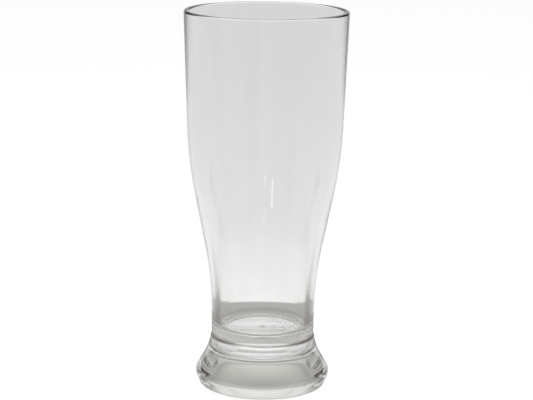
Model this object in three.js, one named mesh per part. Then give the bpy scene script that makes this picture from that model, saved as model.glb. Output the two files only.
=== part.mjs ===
// Footed beer glass of clear moulded plastic: a bowl with an S-shaped wall on a hollow flared foot.
// A film of clear adhesive bonds the bowl's flat base to the foot's deck. The film is a ring, because
// the stub that the mould's gate leaves under the bowl stands in a small relief in the deck.
// Millimetres, +Z up, and the origin lies at the centre of the standing face.
import * as THREE from "three";

// Bowl: heights are above the flat base that rests on the bond
const BOWL_HEIGHT = 161;
const RIM_RADIUS = 40;
const RIM_WALL = 2.5;
const RIM_ROUND = 1.1;
const SHOULDER_HEIGHT = 87.4;
const SHOULDER_RADIUS = 37.4;
const SHOULDER_WALL = 2.6;
const SHOULDER_BEND = 213;
const WAIST_HEIGHT = 28.7;
const WAIST_RADIUS = 25.6;
const WAIST_WALL = 3.5;
const WAIST_BEND = 182;
const BASE_RADIUS = 25.3;
const BASE_WALL = 3.9;
const BASE_ROUND = 0.4;
const FLOOR_THICKNESS = 3.8;
const FLOOR_FILLET = 3.3;

// Gate stub under the bowl, with the clearance that its relief in the deck leaves all round
const GATE_RADIUS = 1.1;
const GATE_LENGTH = 0.5;
const GATE_CLEARANCE = 0.4;

// Bond between the two mouldings
const BOND_THICKNESS = 0.3;
const BOND_INSET = 0.4;

// Foot: heights are above the standing face, and the collar stands out a little from the bowl's base
const FOOT_HEIGHT = 25;
const COLLAR_STEP = 0.3;
const COLLAR_ROUND = 0.4;
const FLARE_CORNER_STEP = 0.9;
const FLARE_CORNER_HEIGHT = 18.7;
const FLARE_BEND = 31;
const LIP_CORNER_RADIUS = 33.6;
const LIP_CORNER_HEIGHT = 6.7;
const LIP_ROUND = 4.3;
const STAND_OUTER_RADIUS = 30.9;
const STAND_OUTER_ROUND = 2;
const STAND_WIDTH = 2.6;
const STAND_INNER_ROUND = 0.3;
const DECK_THICKNESS = 6;
const CAVITY_WALL = 2.6;
const CAVITY_ROUND = 5.5;

// Fineness of the faceted surfaces
const SEGMENTS_AROUND = 64;
const CHORD_ERROR = 0.03;
const WIDEST_ARC_STEP = Math.PI / 8;

const clearPlastic = { color: 0xeef0ee, roughness: 0.06, metalness: 0, transparent: true };
const bowlMaterial = new THREE.MeshStandardMaterial({ ...clearPlastic, opacity: 0.3 });
const footMaterial = new THREE.MeshStandardMaterial({ ...clearPlastic, opacity: 0.4 });
const bondMaterial = new THREE.MeshStandardMaterial({ ...clearPlastic, opacity: 0.5, roughness: 0.2 });

// A corner of a profile: its distance from the axis, its height and the radius of its rounding.
function corner(radius, height, round = 0) {
  return { point: new THREE.Vector2(radius, height), round };
}

// Half of the angle between the two straight edges that meet at a corner.
function halfAngle(corners, index) {
  const back = corners[index - 1].point.clone().sub(corners[index].point);
  const ahead = corners[index + 1].point.clone().sub(corners[index].point);
  return back.angleTo(ahead) / 2;
}

// How far each rounding reaches along its edges, less where two roundings share a short edge.
function roundingReaches(corners) {
  const wanted = corners.map(({ round }, index) => {
    return round > 0 ? round / Math.tan(halfAngle(corners, index)) : 0;
  });
  return corners.map(({ point }, index) => {
    const shares = [index - 1, index + 1]
      .filter((neighbour) => neighbour in corners)
      .map((neighbour) => point.distanceTo(corners[neighbour].point) / (wanted[index] + wanted[neighbour]));
    return wanted[index] > 0 ? wanted[index] * Math.min(1, ...shares) : 0;
  });
}

// Points of the arc that rounds one corner.
function arcPoints(corners, index, reach) {
  const { point } = corners[index];
  const half = halfAngle(corners, index);
  const back = corners[index - 1].point.clone().sub(point).normalize();
  const ahead = corners[index + 1].point.clone().sub(point).normalize();
  const start = point.clone().addScaledVector(back, reach);
  const end = point.clone().addScaledVector(ahead, reach);
  const radius = reach * Math.tan(half);
  const towardsCentre = back.clone().add(ahead).normalize();
  const centre = point.clone().addScaledVector(towardsCentre, radius / Math.sin(half));
  const startAngle = start.clone().sub(centre).angle();
  const endAngle = end.clone().sub(centre).angle();
  const clockwise = back.cross(ahead) > 0;
  const arcStep = Math.min(WIDEST_ARC_STEP, 2 * Math.acos(1 - CHORD_ERROR / radius));
  const steps = Math.ceil((Math.PI - 2 * half) / arcStep);
  return new THREE.EllipseCurve(
    centre.x, centre.y, radius, radius, startAngle, endAngle, clockwise,
  ).getPoints(steps);
}

// Joins the corners by straight edges and rounds each corner that has a rounding.
function roundedProfile(corners) {
  const reaches = roundingReaches(corners);
  return corners.flatMap(({ point }, index) => {
    return reaches[index] > 0 ? arcPoints(corners, index, reaches[index]) : [point];
  });
}

// A named solid of revolution: the profile turns about the vertical axis.
function revolve(name, profile, material) {
  const geometry = new THREE.LatheGeometry(profile, SEGMENTS_AROUND);
  geometry.rotateX(Math.PI / 2);
  const mesh = new THREE.Mesh(geometry, material);
  mesh.name = name;
  return mesh;
}

const reliefRadius = GATE_RADIUS + GATE_CLEARANCE;
const reliefDepth = GATE_LENGTH - BOND_THICKNESS + GATE_CLEARANCE;

// The bowl's profile runs from the gate stub under the base up the outside, over the rim and down inside.
function makeBowl() {
  const profile = roundedProfile([
    corner(0, -GATE_LENGTH),
    corner(GATE_RADIUS, -GATE_LENGTH),
    corner(GATE_RADIUS, 0),
    corner(BASE_RADIUS, 0, BASE_ROUND),
    corner(WAIST_RADIUS, WAIST_HEIGHT, WAIST_BEND),
    corner(SHOULDER_RADIUS, SHOULDER_HEIGHT, SHOULDER_BEND),
    corner(RIM_RADIUS, BOWL_HEIGHT, RIM_ROUND),
    corner(RIM_RADIUS - RIM_WALL, BOWL_HEIGHT, RIM_ROUND),
    corner(SHOULDER_RADIUS - SHOULDER_WALL, SHOULDER_HEIGHT, SHOULDER_BEND - SHOULDER_WALL),
    corner(WAIST_RADIUS - WAIST_WALL, WAIST_HEIGHT, WAIST_BEND + WAIST_WALL),
    corner(BASE_RADIUS - BASE_WALL, FLOOR_THICKNESS, FLOOR_FILLET),
    corner(0, FLOOR_THICKNESS),
  ]);
  const bowl = revolve("bowl", profile, bowlMaterial);
  bowl.position.z = FOOT_HEIGHT + BOND_THICKNESS;
  return bowl;
}

// The bond is a flat film on the deck, set in a little from the relief and from the bowl's rounded edge.
function makeBondRing() {
  const inner = reliefRadius + BOND_INSET;
  const outer = BASE_RADIUS - BASE_ROUND - BOND_INSET;
  const profile = roundedProfile([
    corner(inner, 0),
    corner(outer, 0),
    corner(outer, BOND_THICKNESS),
    corner(inner, BOND_THICKNESS),
    corner(inner, 0),
  ]);
  const ring = revolve("bond_ring", profile, bondMaterial);
  ring.position.z = FOOT_HEIGHT;
  return ring;
}

// The foot's profile runs from the roof of the cavity out to the standing ring, up and in to the relief.
function makeFoot() {
  const collarRadius = BASE_RADIUS + COLLAR_STEP;
  const cavityHeight = FOOT_HEIGHT - DECK_THICKNESS;
  const profile = roundedProfile([
    corner(0, cavityHeight),
    corner(collarRadius - CAVITY_WALL, cavityHeight, CAVITY_ROUND),
    corner(STAND_OUTER_RADIUS - STAND_WIDTH, 0, STAND_INNER_ROUND),
    corner(STAND_OUTER_RADIUS, 0, STAND_OUTER_ROUND),
    corner(LIP_CORNER_RADIUS, LIP_CORNER_HEIGHT, LIP_ROUND),
    corner(collarRadius + FLARE_CORNER_STEP, FLARE_CORNER_HEIGHT, FLARE_BEND),
    corner(collarRadius, FOOT_HEIGHT, COLLAR_ROUND),
    corner(reliefRadius, FOOT_HEIGHT),
    corner(reliefRadius, FOOT_HEIGHT - reliefDepth),
    corner(0, FOOT_HEIGHT - reliefDepth),
  ]);
  return revolve("foot", profile, footMaterial);
}

const footedBeerGlass = new THREE.Group();
footedBeerGlass.name = "footed_beer_glass";
footedBeerGlass.add(makeBowl(), makeBondRing(), makeFoot());

export default footedBeerGlass;
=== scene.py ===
# Footed beer glass of clear moulded plastic, with finely turned walls in place of its faceted solids.
import math
import random

import bmesh
import bpy
from mathutils import Matrix, Vector


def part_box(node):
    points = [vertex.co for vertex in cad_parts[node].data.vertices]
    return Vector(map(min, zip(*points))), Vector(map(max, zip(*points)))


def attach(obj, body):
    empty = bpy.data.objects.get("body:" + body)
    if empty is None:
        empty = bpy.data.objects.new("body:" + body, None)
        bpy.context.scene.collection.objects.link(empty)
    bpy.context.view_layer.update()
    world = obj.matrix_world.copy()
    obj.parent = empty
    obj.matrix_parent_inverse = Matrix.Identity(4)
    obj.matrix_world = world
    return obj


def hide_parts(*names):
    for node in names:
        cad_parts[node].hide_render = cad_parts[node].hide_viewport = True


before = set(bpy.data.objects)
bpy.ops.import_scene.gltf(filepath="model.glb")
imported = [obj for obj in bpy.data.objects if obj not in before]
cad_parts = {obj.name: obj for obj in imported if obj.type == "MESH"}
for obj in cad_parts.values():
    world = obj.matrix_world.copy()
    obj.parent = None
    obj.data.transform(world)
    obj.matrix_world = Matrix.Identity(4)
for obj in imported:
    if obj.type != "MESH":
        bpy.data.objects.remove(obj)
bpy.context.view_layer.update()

# Lengths are in millimetres throughout
MM = 0.001

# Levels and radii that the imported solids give
bowl_low, bowl_high = (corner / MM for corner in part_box("bowl"))
foot_low, foot_high = (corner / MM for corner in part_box("foot"))
_, bond_high = (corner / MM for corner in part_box("bond_ring"))
STANDING_LEVEL = foot_low.z
DECK_LEVEL = foot_high.z
BASE_LEVEL = bond_high.z
RIM_LEVEL = bowl_high.z
GATE_LEVEL = bowl_low.z
BOND_OUTER_RADIUS = bond_high.x

# Bowl: heights are above its flat base
RIM_RADIUS = 40
RIM_WALL = 2.5
RIM_ROUND = 1.1
SHOULDER_HEIGHT = 87.4
SHOULDER_LEVEL = BASE_LEVEL + SHOULDER_HEIGHT
SHOULDER_RADIUS = 37.4
SHOULDER_WALL = 2.6
SHOULDER_BEND = 213
WAIST_HEIGHT = 28.7
WAIST_LEVEL = BASE_LEVEL + WAIST_HEIGHT
WAIST_RADIUS = 25.6
WAIST_WALL = 3.5
WAIST_BEND = 182
BASE_RADIUS = 25.3
BASE_WALL = 3.9
BASE_ROUND = 0.6
BOWL_FLOOR_THICKNESS = 3.8
BOWL_FLOOR_FILLET = 3.3
BOWL_FLOOR_LEVEL = BASE_LEVEL + BOWL_FLOOR_THICKNESS

# Stub of the mould's gate under the bowl, the mark of the gate on its floor and the witness ring round it
GATE_RADIUS = 1.1
GATE_ROUND = 0.15
GATE_MARK_RADIUS = 1.1
GATE_MARK_DEPTH = 0.15
MARK_ROUND = 0.05
WITNESS_RADIUS = 17.6
WITNESS_HEIGHT = 0.25
WITNESS_HALF_WIDTH = 0.35
WITNESS_ROUND = 0.2

# Foot
COLLAR_RADIUS = 25.6
COLLAR_ROUND = 0.4
FLARE_CORNER_RADIUS = 26.5
FLARE_CORNER_LEVEL = 18.7
FLARE_BEND = 30.2
LIP_CORNER_RADIUS = 33.6
LIP_CORNER_LEVEL = 6.7
LIP_ROUND = 4.3
STAND_OUTER_RADIUS = 30.9
STAND_OUTER_ROUND = 2
STAND_INNER_RADIUS = 28.3
STAND_INNER_ROUND = 0.3
DECK_THICKNESS = 6
CAVITY_LEVEL = DECK_LEVEL - DECK_THICKNESS
CAVITY_RADIUS = 23
CAVITY_ROUND = 5.5
RELIEF_RADIUS = 1.5
RELIEF_DEPTH = 0.6
RELIEF_LEVEL = DECK_LEVEL - RELIEF_DEPTH
RELIEF_ROUND = 0.15

# Bond: a film that stays a hair clear of both mouldings, with flat bubbles towards one side
BOND_INNER_RADIUS = 1.9
FILM_GAP = 0.01
BUBBLE_COUNT = 16
BUBBLE_SEED = 11
BUBBLE_RADII = (0.15, 0.5)
BUBBLE_THICKNESS = 0.2
BUBBLE_PLACES = (5, 17)
BUBBLE_TURNS = (math.radians(-50), math.radians(35))
BUBBLE_STEPS_AROUND = 20
BUBBLE_STEPS_UP = 10

# Fineness of the turned surfaces
STEPS_AROUND = 256
STEPS_IN_ROUNDING = 14
SHARP_EDGE = math.radians(40)
MERGE_GAP = 0.001

# Turning about this axis takes the radius of an outline towards its height
OUTLINE_AXIS = (0, -1, 0)

# Order of the materials on a piece; the film has a fourth one for the faces that point down
PLAIN, WETTED, GROOVE, UNDERSIDE = range(4)
POINTS_DOWN = -0.5

# Clear plastic: its streaks are drawn out along the wall, and smears of handling dull it
REFRACTION = 1.57
SHADOW_TINT = 0.93
STREAK_SCALE = 110
STREAK_STRETCH = 0.06
STREAK_EDGES = (0.35, 0.65)
SMEAR_SCALE = 40
SMEAR_EDGES = (0.5, 0.75)
SPECK_SCALE = 900

# Wear of the lip: roughness where its side is seen at a low angle, and close to the standing level
WORN_LEVEL = 10.5
WORN_ANGLES = (0.64, 0.85)
WORN_ROUGHNESS = 0.45
SCUFF_LEVEL = 4.5
SCUFF_ROUGHNESS = 0.22
SHEEN_FADE = 2
SHEEN_ROUGHNESS = 0.25

# Cloud in the adhesive: a bead runs round its edge, specks break it on the right, and low angles thin it
CLOUD_RADIUS = 18.4
CLOUD_EDGE = 0.3
BEAD_WIDTH = 0.9
CLOUD_SPECK_SCALE = 700
CLOUD_SPECK_PLACES = (1, 8)
CLOUD_SPECK_EDGES = (0.45, 0.6)
CLOUD_SPECK_COVERS = (0.4, 1.5)
CLOUD_ANGLES = (0.4, 0.75)
CLOUD_AT_LOW_ANGLE = 0.4
CLOUD_HAZE = 0.6
WETTED_HAZE = 0.01
FILM_TINTS = (1, 0.92)
FILM_ROUGHNESS = 0.5

# Dark colour in the groove: lighter in front and behind, and darkest from these places on to both sides
GROOVE_DARK_PLACES = (8, 20)
GROOVE_FRONT_TINTS = ((0.75, 0.74, 0.71), (0.6, 0.59, 0.56))
GROOVE_SIDE_TINTS = ((0.26, 0.24, 0.21), (0.16, 0.14, 0.12))
GROOVE_ROUGHNESS = 0.7

# Floor under the glass: the tones that the glass shows of it, by distance from its axis, with painted
# shade close by
FLOOR_HALF = 3000
FLOOR_REACH = 900
FLOOR_IN_FRONT = (
    (0, 0.57), (12, 0.37), (22, 0.3), (27, 0.05), (30, 0.75), (38, 0.5), (46, 0.55),
    (100, 0.2), (128, 0.9), (145, 0.56), (165, 0.4), (200, 0.58), (900, 0.74),
)
FLOOR_BEHIND = (
    (0, 0.54), (12, 0.65), (20, 0.62), (26, 0.4), (33, 0.45), (38, 0.32), (46, 0.36),
    (60, 0.27), (90, 0.24), (140, 0.36),
)
FLOOR_FAR = (
    (0, 0.95), (138, 0.95), (165, 0.91), (200, 0.87), (270, 0.81), (500, 0.745), (900, 0.665),
)
FLOOR_GLOW = 0.94
FLOOR_PAINT = 0.9

# The painted shadow behind the glass ends and the far floor starts at this depth straight behind it, and
# this edge bends forward at both sides
FAR_DEPTH = (135, 139)
FAR_BOW_PER_METRE = 4.8

# The painted shade close to the glass is a little warm
NEAR_TINT = Vector((1, 0.985, 0.93))
FAR_TINT = Vector((1, 1, 1))
TINT_REACH = 150

# Painted brown shade on the floor at both sides, between these bearings from straight behind and these
# distances
SHADE_BROWN = (0.17, 0.15, 0.12)
SHADE_INNER_BEARINGS = (math.radians(34), math.radians(46))
SHADE_OUTER_BEARINGS = (math.radians(75), math.radians(60))
SHADE_START = (50, 62)
SHADE_END = (200, 60)

# Studio: tones by the sine of the rise above the horizon, and the bearings at which its parts meet
BACKDROP_TONES = (
    (0, 0.85), (0.07, 0.8), (0.12, 0.5), (0.18, 0.55), (0.28, 1), (0.43, 1),
    (0.47, 0.52), (0.59, 0.5), (0.77, 0.69), (1, 0.95),
)
FLAG_BROWN = (0.085, 0.07, 0.055)
FLAG_TONES = (
    (0, FLAG_BROWN), (0.29, FLAG_BROWN), (0.36, 0.55), (0.47, 0.75), (0.59, 0.4), (0.77, 0.45), (1, 0.85),
)
ROOM_TONES = ((0, 0.66), (0.17, 0.46), (0.37, 0.51), (0.47, 0.3), (0.59, 0.52), (1, 0.45))
BACKDROP_BEARINGS = (math.radians(27), math.radians(20))
ROOM_BEARINGS = (math.radians(64), math.radians(80))

# Softbox over the glass
SOFTBOX_PLACE = Vector((0, 150, 1200)) * MM
SOFTBOX_TARGET = Vector((0, 0, 90)) * MM
SOFTBOX_SIZE = 1600
SOFTBOX_POWER = 20

# Narrow lights low in front of the glass: how far right and forward they lie, their width and their length
GLINTS = ((0, 252, 5, 43), (44, 208, 7, 84), (0, 161, 3, 18))
GLINT_LEVEL = 4
GLINT_GLOW = 4

# Camera
CAMERA_PLACE = Vector((1.0995, -851.826, 281.777)) * MM
CAMERA_TILT = math.radians(12.505)
CAMERA_ROLL = math.radians(0.785)
CAMERA_LENS = 119.95
CAMERA_SENSOR = 36

# Light has to cross many walls before it leaves a thick clear foot
BOUNCES = 40

# Values that the nodes and the lights use
WHITE = 1
UNPLACED_STOP = 0.5
UPWARD = Vector((0, 0, 1))


# Drawing of outlines, from corners of the form (radius, level) or (radius, level, rounding)
def corner_place(corner):
    return Vector((corner[0], 0, corner[1])) * MM


def draw_line(outline, pen, place):
    end = bmesh.ops.extrude_vert_indiv(outline, verts=[pen])["verts"][0]
    end.co = place
    return end


def draw_rounding(outline, pen, before, here, after):
    place = corner_place(here)
    rounding = here[2] * MM
    back = (corner_place(before) - place).normalized()
    ahead = (corner_place(after) - place).normalized()
    half = back.angle(ahead) / 2
    centre = place + (back + ahead).normalized() * rounding / math.sin(half)
    turn = math.copysign(math.pi - 2 * half, back.z * ahead.x - back.x * ahead.z)
    pen = draw_line(outline, pen, place + back * rounding / math.tan(half))
    swept = bmesh.ops.spin(
        outline, geom=[pen], cent=centre, axis=OUTLINE_AXIS, angle=turn, steps=STEPS_IN_ROUNDING)
    return next(item for item in swept["geom_last"] if isinstance(item, bmesh.types.BMVert))


def turned_shape(corners):
    shape = bmesh.new()
    pen = shape.verts.new(corner_place(corners[0]))
    for before, here, after in zip(corners, corners[1:], corners[2:]):
        if len(here) == 3:
            pen = draw_rounding(shape, pen, before, here, after)
        else:
            pen = draw_line(shape, pen, corner_place(here))
    draw_line(shape, pen, corner_place(corners[-1]))
    bmesh.ops.spin(
        shape, geom=shape.verts[:] + shape.edges[:], cent=(0, 0, 0), axis=(0, 0, 1),
        angle=2 * math.pi, steps=STEPS_AROUND, use_merge=True)
    bmesh.ops.remove_doubles(shape, verts=shape.verts, dist=MERGE_GAP * MM)
    bmesh.ops.recalc_face_normals(shape, faces=shape.faces)
    return shape


# Faces at the joint are marked: light crosses those within the film's edge, and the dark groove colour
# lies on the others
def mark_joint(shape):
    for face in shape.faces:
        middle = face.calc_center_median() / MM
        if RELIEF_LEVEL - MERGE_GAP < middle.z < BASE_LEVEL + MERGE_GAP:
            wet = math.hypot(middle.x, middle.y) < BOND_OUTER_RADIUS - FILM_GAP
            face.material_index = WETTED if wet else GROOVE


def add_object(name, shape, materials):
    mesh = bpy.data.meshes.new(name)
    shape.to_mesh(mesh)
    shape.free()
    for material in materials:
        mesh.materials.append(material)
    made = bpy.data.objects.new(name, mesh)
    bpy.context.scene.collection.objects.link(made)
    return made


def finish_piece(name, shape, node, materials):
    for face in shape.faces:
        face.smooth = True
    piece = add_object(name, shape, materials)
    piece.data.set_sharp_from_angle(angle=SHARP_EDGE)
    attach(piece, "root")
    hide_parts(node)


# The bowl's outline runs from the gate stub under the base up the outside, over the rim and down inside
def make_bowl(materials):
    shape = turned_shape([
        (0, GATE_LEVEL),
        (GATE_RADIUS, GATE_LEVEL, GATE_ROUND),
        (GATE_RADIUS, BASE_LEVEL),
        (BOND_INNER_RADIUS, BASE_LEVEL),
        (BOND_OUTER_RADIUS, BASE_LEVEL),
        (BASE_RADIUS, BASE_LEVEL, BASE_ROUND),
        (WAIST_RADIUS, WAIST_LEVEL, WAIST_BEND),
        (SHOULDER_RADIUS, SHOULDER_LEVEL, SHOULDER_BEND),
        (RIM_RADIUS, RIM_LEVEL, RIM_ROUND),
        (RIM_RADIUS - RIM_WALL, RIM_LEVEL, RIM_ROUND),
        (SHOULDER_RADIUS - SHOULDER_WALL, SHOULDER_LEVEL, SHOULDER_BEND - SHOULDER_WALL),
        (WAIST_RADIUS - WAIST_WALL, WAIST_LEVEL, WAIST_BEND + WAIST_WALL),
        (BASE_RADIUS - BASE_WALL, BOWL_FLOOR_LEVEL, BOWL_FLOOR_FILLET),
        (WITNESS_RADIUS + WITNESS_HALF_WIDTH, BOWL_FLOOR_LEVEL),
        (WITNESS_RADIUS, BOWL_FLOOR_LEVEL + WITNESS_HEIGHT, WITNESS_ROUND),
        (WITNESS_RADIUS - WITNESS_HALF_WIDTH, BOWL_FLOOR_LEVEL),
        (GATE_MARK_RADIUS, BOWL_FLOOR_LEVEL, MARK_ROUND),
        (GATE_MARK_RADIUS - GATE_MARK_DEPTH, BOWL_FLOOR_LEVEL - GATE_MARK_DEPTH, MARK_ROUND),
        (0, BOWL_FLOOR_LEVEL - GATE_MARK_DEPTH),
    ])
    mark_joint(shape)
    finish_piece("turned_bowl", shape, "bowl", materials)


# The foot's outline runs from the roof of the cavity out to the standing ring, up and in to the relief
def make_foot(materials):
    shape = turned_shape([
        (0, CAVITY_LEVEL),
        (CAVITY_RADIUS, CAVITY_LEVEL, CAVITY_ROUND),
        (STAND_INNER_RADIUS, STANDING_LEVEL, STAND_INNER_ROUND),
        (STAND_OUTER_RADIUS, STANDING_LEVEL, STAND_OUTER_ROUND),
        (LIP_CORNER_RADIUS, LIP_CORNER_LEVEL, LIP_ROUND),
        (FLARE_CORNER_RADIUS, FLARE_CORNER_LEVEL, FLARE_BEND),
        (COLLAR_RADIUS, DECK_LEVEL, COLLAR_ROUND),
        (BOND_OUTER_RADIUS, DECK_LEVEL),
        (BOND_INNER_RADIUS, DECK_LEVEL),
        (RELIEF_RADIUS, DECK_LEVEL),
        (RELIEF_RADIUS, RELIEF_LEVEL, RELIEF_ROUND),
        (0, RELIEF_LEVEL),
    ])
    mark_joint(shape)
    finish_piece("turned_foot", shape, "foot", materials)


# A flat bubble is a hollow in the film, so its faces point into it
def add_bubble(shape, chance):
    distance = chance.uniform(*BUBBLE_PLACES)
    turn = chance.uniform(*BUBBLE_TURNS)
    size = chance.uniform(*BUBBLE_RADII)
    place = Vector((distance * math.cos(turn), distance * math.sin(turn), (DECK_LEVEL + BASE_LEVEL) / 2))
    stretch = Matrix.Diagonal((size, size, BUBBLE_THICKNESS / 2, 1))
    lay = Matrix.Scale(MM, 4) @ Matrix.Translation(place) @ stretch
    ball = bmesh.ops.create_uvsphere(
        shape, u_segments=BUBBLE_STEPS_AROUND, v_segments=BUBBLE_STEPS_UP, radius=1, matrix=lay)
    faces = list({face for vertex in ball["verts"] for face in vertex.link_faces})
    bmesh.ops.reverse_faces(shape, faces=faces)
    for face in faces:
        face.material_index = PLAIN


def make_bond(materials):
    shape = turned_shape([
        (BOND_INNER_RADIUS, DECK_LEVEL + FILM_GAP),
        (BOND_OUTER_RADIUS, DECK_LEVEL + FILM_GAP),
        (BOND_OUTER_RADIUS, BASE_LEVEL - FILM_GAP),
        (BOND_INNER_RADIUS, BASE_LEVEL - FILM_GAP),
        (BOND_INNER_RADIUS, DECK_LEVEL + FILM_GAP),
    ])
    mark_joint(shape)
    for face in shape.faces:
        if face.normal.z < POINTS_DOWN:
            face.material_index = UNDERSIDE
    chance = random.Random(BUBBLE_SEED)
    for _ in range(BUBBLE_COUNT):
        add_bubble(shape, chance)
    finish_piece("adhesive_film", shape, "bond_ring", materials)


# An opaque colour, from a grey tone or from red, green and blue
def opaque(tone):
    if isinstance(tone, (int, float)):
        return (tone, tone, tone, 1)
    return (*tone, 1)


# Node helpers; the later ones give back the socket that holds their result
def add_node(tree, kind, **settings):
    node = tree.nodes.new("ShaderNode" + kind)
    for name, value in settings.items():
        setattr(node, name, value)
    return node


def set_inputs(node, **values):
    for name, value in values.items():
        node.inputs[name.replace("_", " ")].default_value = value


def feed(tree, source, socket):
    if isinstance(source, bpy.types.NodeSocket):
        tree.links.new(source, socket)
    else:
        socket.default_value = source


def calculated(tree, operation, first, second):
    node = add_node(tree, "Math", operation=operation)
    feed(tree, first, node.inputs[0])
    feed(tree, second, node.inputs[1])
    return node.outputs["Value"]


def mixed(tree, kind, share, first, second):
    node = add_node(tree, "Mix", data_type=kind)
    feed(tree, share, node.inputs["Factor"])
    feed(tree, first, node.inputs["A"])
    feed(tree, second, node.inputs["B"])
    return node.outputs["Result"]


def mixed_shaders(tree, share, first, second):
    node = add_node(tree, "MixShader")
    feed(tree, share, node.inputs[0])
    tree.links.new(first.outputs[0], node.inputs[1])
    tree.links.new(second.outputs[0], node.inputs[2])
    return node.outputs[0]


# Turns the range from start to end into the range of the two results, evenly or with soft ends
def ranged(tree, value, start, end, results=(0, 1), ease="LINEAR"):
    node = add_node(tree, "MapRange", interpolation_type=ease)
    set_inputs(node, From_Min=start, From_Max=end, To_Min=results[0], To_Max=results[1])
    tree.links.new(value, node.inputs["Value"])
    return node.outputs["Result"]


# Rises softly from 0 at the first edge to 1 at the second, whichever of them is larger
def soft_mask(tree, value, edges):
    start, end = edges
    results = (0, 1) if start < end else (1, 0)
    return ranged(tree, value, min(edges), max(edges), results, "SMOOTHSTEP")


def length_mask(tree, value, edges):
    return soft_mask(tree, value, [edge * MM for edge in edges])


def bearing_mask(tree, cosine, bearings):
    return soft_mask(tree, cosine, [math.cos(bearing) for bearing in bearings])


def axis_part(tree, vector, axis):
    node = add_node(tree, "SeparateXYZ")
    tree.links.new(vector, node.inputs[0])
    return node.outputs[axis]


def stretched(tree, vector, axes):
    node = add_node(tree, "VectorMath", operation="MULTIPLY")
    node.inputs[1].default_value = axes
    tree.links.new(vector, node.inputs[0])
    return node.outputs["Vector"]


def multiplied(tree, vector, factor):
    node = add_node(tree, "VectorMath", operation="SCALE")
    tree.links.new(vector, node.inputs[0])
    tree.links.new(factor, node.inputs["Scale"])
    return node.outputs["Vector"]


def length_of(tree, vector):
    node = add_node(tree, "VectorMath", operation="LENGTH")
    tree.links.new(vector, node.inputs[0])
    return node.outputs["Value"]


# Direction from the upright axis, level with the floor
def outward(tree, vector):
    node = add_node(tree, "VectorMath", operation="NORMALIZE")
    tree.links.new(stretched(tree, vector, (1, 1, 0)), node.inputs[0])
    return node.outputs["Vector"]


def noise(tree, vector, scale, **values):
    node = add_node(tree, "TexNoise")
    set_inputs(node, **values)
    tree.links.new(vector, node.inputs["Vector"])
    feed(tree, scale, node.inputs["Scale"])
    return node.outputs["Fac"]


# A run of tones; a new stop waits in the middle until it takes its own place
def ramp(tree, value, stops):
    node = add_node(tree, "ValToRGB")
    elements = node.color_ramp.elements
    while len(elements) < len(stops):
        elements.new(UNPLACED_STOP)
    for element, (position, tone) in zip(elements, stops):
        element.position = position
        element.color = opaque(tone)
    tree.links.new(value, node.inputs["Fac"])
    return node.outputs["Color"]


def new_group(name, inputs, outputs):
    group = bpy.data.node_groups.new(name, "ShaderNodeTree")
    for direction, sockets in (("INPUT", inputs), ("OUTPUT", outputs)):
        for label, kind in sockets.items():
            group.interface.new_socket(label, in_out=direction, socket_type="NodeSocket" + kind)
    given = group.nodes.new("NodeGroupInput")
    result = group.nodes.new("NodeGroupOutput")
    return group, given.outputs, result.inputs


def place_group(tree, group, place, **values):
    node = add_node(tree, "Group", node_tree=group)
    set_inputs(node, **values)
    tree.links.new(place, node.inputs["Vector"])
    return node.outputs[0]


def new_material(name):
    material = bpy.data.materials.new(name)
    material.use_nodes = True
    tree = material.node_tree
    place = add_node(tree, "TexCoord").outputs["Object"]
    return material, tree, place


# Flow lines of the moulding: slow waves that change round the wall and hardly along it
def flow_line_group():
    group, given, result = new_group(
        "flow_lines", inputs={"Vector": "Vector", "Lines Around": "Float", "Lines Along": "Float"},
        outputs={"Height": "Float"})
    around = multiplied(group, outward(group, given["Vector"]), given["Lines Around"])
    along = multiplied(group, stretched(group, given["Vector"], (0, 0, 1)), given["Lines Along"])
    both = add_node(group, "VectorMath", operation="ADD")
    group.links.new(around, both.inputs[0])
    group.links.new(along, both.inputs[1])
    waves = noise(group, both.outputs["Vector"], scale=1, Detail=6, Roughness=0.6)
    group.links.new(waves, result["Height"])
    return group


# Marks of handling and washing: soft smears broken by fine specks
def handling_group():
    group, given, result = new_group(
        "handling_marks", inputs={"Vector": "Vector", "Smear Scale": "Float", "Speck Scale": "Float"},
        outputs={"Mask": "Float"})
    smears = noise(group, given["Vector"], given["Smear Scale"], Detail=4, Roughness=0.6, Distortion=0.8)
    patches = soft_mask(group, smears, SMEAR_EDGES)
    specks = noise(group, given["Vector"], given["Speck Scale"], Detail=2, Roughness=0.5)
    marks = calculated(group, "MULTIPLY", patches, specks)
    group.links.new(marks, result["Mask"])
    return group


# Slight drift of a material's own tint, drawn out into upright streaks
def tint_group():
    group, given, result = new_group(
        "tint_drift", inputs={"Vector": "Vector", "Clear Tint": "Color", "Deep Tint": "Color"},
        outputs={"Tint": "Color"})
    drawn = stretched(group, given["Vector"], (1, 1, STREAK_STRETCH))
    drift = noise(group, drawn, STREAK_SCALE, Detail=3, Roughness=0.6)
    share = ranged(group, drift, *STREAK_EDGES)
    tint = mixed(group, "RGBA", share, given["Clear Tint"], given["Deep Tint"])
    group.links.new(tint, result["Tint"])
    return group


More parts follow.
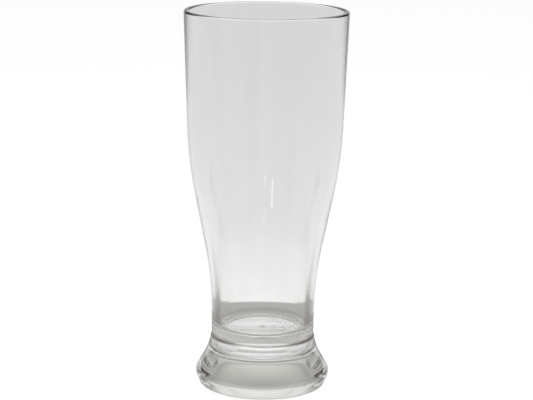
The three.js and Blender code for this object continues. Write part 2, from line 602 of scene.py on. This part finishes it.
# Cloud in the cured adhesive: even, with a bead round its edge, and speckled towards one side
def cloud_group():
    group, given, result = new_group(
        "adhesive_cloud", inputs={"Vector": "Vector", "Haze": "Float"}, outputs={"Cover": "Float"})
    distance = length_of(group, stretched(group, given["Vector"], (1, 1, 0)))
    inside = length_mask(group, distance, (CLOUD_RADIUS, CLOUD_RADIUS - CLOUD_EDGE))
    bead = length_mask(group, distance, (CLOUD_RADIUS - BEAD_WIDTH, CLOUD_RADIUS - CLOUD_EDGE))
    side = length_mask(group, axis_part(group, given["Vector"], "X"), CLOUD_SPECK_PLACES)
    specks = noise(group, given["Vector"], CLOUD_SPECK_SCALE, Detail=3, Roughness=0.6)
    broken = ranged(group, specks, *CLOUD_SPECK_EDGES, CLOUD_SPECK_COVERS, "SMOOTHSTEP")
    pattern = mixed(group, "FLOAT", side, 1, broken)
    haze = calculated(group, "MULTIPLY", inside, given["Haze"])
    cover = calculated(group, "MULTIPLY", haze, pattern)
    edge = calculated(group, "MULTIPLY", haze, bead)
    whole = calculated(group, "ADD", cover, edge)
    group.links.new(whole, result["Cover"])
    return group


# Roughness of the worn lip: scuffs close to the standing level, and haze on sides seen at a low angle
def worn_roughness(tree, height):
    scuffs = ranged(tree, height, 0, SCUFF_LEVEL * MM, (SCUFF_ROUGHNESS, 0), "SMOOTHSTEP")
    angle = add_node(tree, "LayerWeight").outputs["Facing"]
    haze = ranged(tree, angle, *WORN_ANGLES, (0, WORN_ROUGHNESS), "SMOOTHSTEP")
    low = calculated(tree, "LESS_THAN", height, WORN_LEVEL * MM)
    return calculated(tree, "MAXIMUM", scuffs, calculated(tree, "MULTIPLY", haze, low))


# Clear plastic: lamps shine through it, so that the glass casts the light shadow of a clear object
def clear_plastic(name, tints, lines_around, lines_along, line_depth, roughness, worn_lip=False):
    material, tree, place = new_material(name)
    link = tree.links.new
    shader = tree.nodes["Principled BSDF"]
    set_inputs(shader, IOR=REFRACTION, Transmission_Weight=1)
    tint = place_group(tree, tint_drift, place, Clear_Tint=opaque(tints[0]), Deep_Tint=opaque(tints[1]))
    link(tint, shader.inputs["Base Color"])
    marks = place_group(tree, handling_marks, place, Smear_Scale=SMEAR_SCALE, Speck_Scale=SPECK_SCALE)
    dullness = ranged(tree, marks, 0, 1, roughness)
    if worn_lip:
        height = axis_part(tree, place, "Z")
        dullness = calculated(tree, "MAXIMUM", dullness, worn_roughness(tree, height))
        set_inputs(shader, Sheen_Roughness=SHEEN_ROUGHNESS)
        sheen = length_mask(tree, height, (WORN_LEVEL + SHEEN_FADE, WORN_LEVEL))
        link(sheen, shader.inputs["Sheen Weight"])
    link(dullness, shader.inputs["Roughness"])
    relief = add_node(tree, "Bump")
    set_inputs(relief, Strength=1, Distance=line_depth * MM)
    waves = place_group(tree, flow_lines, place, Lines_Around=lines_around, Lines_Along=lines_along)
    link(waves, relief.inputs["Height"])
    link(relief.outputs["Normal"], shader.inputs["Normal"])
    passing = add_node(tree, "BsdfTransparent")
    set_inputs(passing, Color=opaque(SHADOW_TINT))
    shadow_ray = add_node(tree, "LightPath").outputs["Is Shadow Ray"]
    surface = mixed_shaders(tree, shadow_ray, shader, passing)
    link(surface, tree.nodes["Material Output"].inputs["Surface"])
    return material


# Faces that touch the adhesive pass the light on; its cloud shows on them, but not from their backs
def bonded_face(name, haze):
    material, tree, place = new_material(name)
    shader = tree.nodes["Principled BSDF"]
    set_inputs(shader, Roughness=FILM_ROUGHNESS)
    tint = place_group(
        tree, tint_drift, place, Clear_Tint=opaque(FILM_TINTS[0]), Deep_Tint=opaque(FILM_TINTS[1]))
    tree.links.new(tint, shader.inputs["Base Color"])
    cover = place_group(tree, adhesive_cloud, place, Haze=haze)
    angle = add_node(tree, "LayerWeight").outputs["Facing"]
    fading = ranged(tree, angle, *CLOUD_ANGLES, (1, CLOUD_AT_LOW_ANGLE), "SMOOTHSTEP")
    faded = calculated(tree, "MULTIPLY", cover, fading)
    back = add_node(tree, "NewGeometry").outputs["Backfacing"]
    shown = mixed(tree, "FLOAT", back, faded, 0)
    tree.links.new(shown, shader.inputs["Alpha"])
    return material


# Dark colour at the bottom of the groove: darker at the sides than in front and behind
def darkened_groove(name):
    material, tree, place = new_material(name)
    shader = tree.nodes["Principled BSDF"]
    set_inputs(shader, Roughness=GROOVE_ROUGHNESS)
    sideways = add_node(tree, "Math", operation="ABSOLUTE")
    tree.links.new(axis_part(tree, place, "X"), sideways.inputs[0])
    share = length_mask(tree, sideways.outputs["Value"], GROOVE_DARK_PLACES)
    front_colour, side_colour = (
        place_group(tree, tint_drift, place, Clear_Tint=opaque(clear), Deep_Tint=opaque(deep))
        for clear, deep in (GROOVE_FRONT_TINTS, GROOVE_SIDE_TINTS))
    colour = mixed(tree, "RGBA", share, front_colour, side_colour)
    tree.links.new(colour, shader.inputs["Base Color"])
    return material


def floor_ramp(tree, share, stops, tint_reach):
    return ramp(tree, share, [
        (distance / FLOOR_REACH, (NEAR_TINT if distance < tint_reach else FAR_TINT) * tone)
        for distance, tone in stops])


# What the glass shows of the floor: painted shade close by, brighter further off
def painted_floor_shade(tree, place):
    distance = length_of(tree, place)
    sideways = axis_part(tree, place, "X")
    depth = axis_part(tree, place, "Y")
    share = ranged(tree, distance, 0, FLOOR_REACH * MM)
    front = floor_ramp(tree, share, FLOOR_IN_FRONT, TINT_REACH)
    behind = floor_ramp(tree, share, FLOOR_BEHIND, TINT_REACH)
    far = floor_ramp(tree, share, FLOOR_FAR, 0)
    bow = calculated(tree, "MULTIPLY", calculated(tree, "MULTIPLY", sideways, sideways), FAR_BOW_PER_METRE)
    far_share = length_mask(tree, calculated(tree, "ADD", depth, bow), FAR_DEPTH)
    behind = mixed(tree, "RGBA", far_share, behind, far)
    cosine = calculated(tree, "DIVIDE", depth, distance)
    tone = mixed(tree, "RGBA", ranged(tree, cosine, -1, 1), front, behind)
    masks = [bearing_mask(tree, cosine, edges) for edges in (SHADE_INNER_BEARINGS, SHADE_OUTER_BEARINGS)]
    masks += [length_mask(tree, distance, edges) for edges in (SHADE_START, SHADE_END)]
    shade = masks[0]
    for mask in masks[1:]:
        shade = calculated(tree, "MULTIPLY", shade, mask)
    return mixed(tree, "RGBA", shade, tone, opaque(SHADE_BROWN))


# The floor is white to the eye, glows with painted shade for the glass and keeps the shadow of the glass
def floor_material():
    material, tree, place = new_material("pale_floor")
    tree.nodes.remove(tree.nodes["Principled BSDF"])
    light = add_node(tree, "LightPath")
    camera_ray = light.outputs["Is Camera Ray"]
    glow = add_node(tree, "Emission")
    shown = mixed(tree, "RGBA", camera_ray, painted_floor_shade(tree, place), opaque(WHITE))
    tree.links.new(shown, glow.inputs["Color"])
    paint = add_node(tree, "BsdfDiffuse")
    set_inputs(paint, Color=opaque(FLOOR_PAINT))
    seen = calculated(tree, "MAXIMUM", camera_ray, light.outputs["Is Transmission Ray"])
    seen = calculated(tree, "MAXIMUM", seen, light.outputs["Is Glossy Ray"])
    surface = mixed_shaders(tree, calculated(tree, "MULTIPLY", seen, FLOOR_GLOW), paint, glow)
    tree.links.new(surface, tree.nodes["Material Output"].inputs["Surface"])
    return material


def make_floor():
    shape = bmesh.new()
    bmesh.ops.create_grid(shape, x_segments=1, y_segments=1, size=FLOOR_HALF * MM)
    floor = add_object("floor", shape, [floor_material()])


# Studio: a pale backdrop behind, dark flags at the sides and a dim room in front; the eye sees only white
def make_studio():
    world = bpy.data.worlds.new("studio")
    bpy.context.scene.world = world
    world.use_nodes = True
    tree = world.node_tree
    tree.nodes.clear()
    place = add_node(tree, "TexCoord").outputs["Generated"]
    rise = axis_part(tree, place, "Z")
    backdrop, flags, room = (ramp(tree, rise, stops) for stops in (BACKDROP_TONES, FLAG_TONES, ROOM_TONES))
    cosine = axis_part(tree, outward(tree, place), "Y")
    colour = mixed(tree, "RGBA", bearing_mask(tree, cosine, BACKDROP_BEARINGS), flags, backdrop)
    colour = mixed(tree, "RGBA", bearing_mask(tree, cosine, ROOM_BEARINGS), colour, room)
    tent = add_node(tree, "Background")
    tree.links.new(colour, tent.inputs["Color"])
    white = add_node(tree, "Background")
    set_inputs(white, Color=opaque(WHITE))
    camera_ray = add_node(tree, "LightPath").outputs["Is Camera Ray"]
    result = add_node(tree, "OutputWorld")
    surface = mixed_shaders(tree, camera_ray, tent, white)
    tree.links.new(surface, result.inputs["Surface"])


def add_lamp(name, place, target, width, length, power):
    light = bpy.data.lights.new(name, "AREA")
    light.shape = "RECTANGLE"
    light.size = width * MM
    light.size_y = length * MM
    light.energy = power
    lamp = bpy.data.objects.new(name, light)
    lamp.location = place
    lamp.rotation_euler = (target - place).to_track_quat("-Z", "Y").to_euler()
    lamp.visible_camera = False
    lamp.visible_transmission = False
    bpy.context.scene.collection.objects.link(lamp)
    return lamp


def add_softbox():
    softbox = add_lamp(
        "top_softbox", SOFTBOX_PLACE, SOFTBOX_TARGET, SOFTBOX_SIZE, SOFTBOX_SIZE, SOFTBOX_POWER)
    softbox.visible_glossy = False


# Each narrow light faces up and points at the axis of the glass, so that its glint on the wall is upright
def add_glints():
    for number, (right, forward, width, length) in enumerate(GLINTS):
        place = Vector((right, -forward, GLINT_LEVEL)) * MM
        power = GLINT_GLOW * math.pi * width * length * MM ** 2
        lamp = add_lamp(f"glint_{number}", place, place + UPWARD, width, length, power)
        lamp.rotation_euler.z += math.atan2(right, forward)


def make_camera():
    lens = bpy.data.cameras.new("camera")
    lens.sensor_width = CAMERA_SENSOR
    lens.lens = CAMERA_LENS
    camera = bpy.data.objects.new("camera", lens)
    tilt = Matrix.Rotation(math.pi / 2 - CAMERA_TILT, 4, "X")
    roll = Matrix.Rotation(CAMERA_ROLL, 4, "Z")
    camera.matrix_world = Matrix.Translation(CAMERA_PLACE) @ tilt @ roll
    bpy.context.scene.collection.objects.link(camera)
    bpy.context.scene.camera = camera


# Effects that several materials share
flow_lines = flow_line_group()
handling_marks = handling_group()
tint_drift = tint_group()
adhesive_cloud = cloud_group()

# Materials
wetted_face = bonded_face("wetted_face", WETTED_HAZE)
clouded_face = bonded_face("clouded_face", CLOUD_HAZE)
bowl_plastic = clear_plastic(
    "clear_bowl_plastic", tints=(1, (0.97, 0.975, 0.97)),
    lines_around=9, lines_along=12, line_depth=0.02, roughness=(0, 0.03))
foot_plastic = clear_plastic(
    "clear_foot_plastic", tints=((0.995, 0.995, 0.985), (0.98, 0.98, 0.965)),
    lines_around=6, lines_along=300, line_depth=0.01, roughness=(0, 0.04), worn_lip=True)
bond_plastic = clear_plastic(
    "cured_adhesive", tints=((0.99, 0.99, 0.98), (0.95, 0.95, 0.93)),
    lines_around=40, lines_along=900, line_depth=0.02, roughness=(0.05, 0.2))
groove_darkening = darkened_groove("groove_darkening")

# Pieces
make_bowl((bowl_plastic, wetted_face, groove_darkening))
make_foot((foot_plastic, wetted_face, groove_darkening))
make_bond((bond_plastic, clouded_face, groove_darkening, wetted_face))

# Surroundings
make_floor()
make_studio()
add_softbox()
add_glints()
make_camera()

scene = bpy.context.scene
scene.view_settings.view_transform = "Standard"
scene.cycles.max_bounces = BOUNCES
scene.cycles.glossy_bounces = BOUNCES
scene.cycles.transmission_bounces = BOUNCES
scene.cycles.transparent_max_bounces = BOUNCES
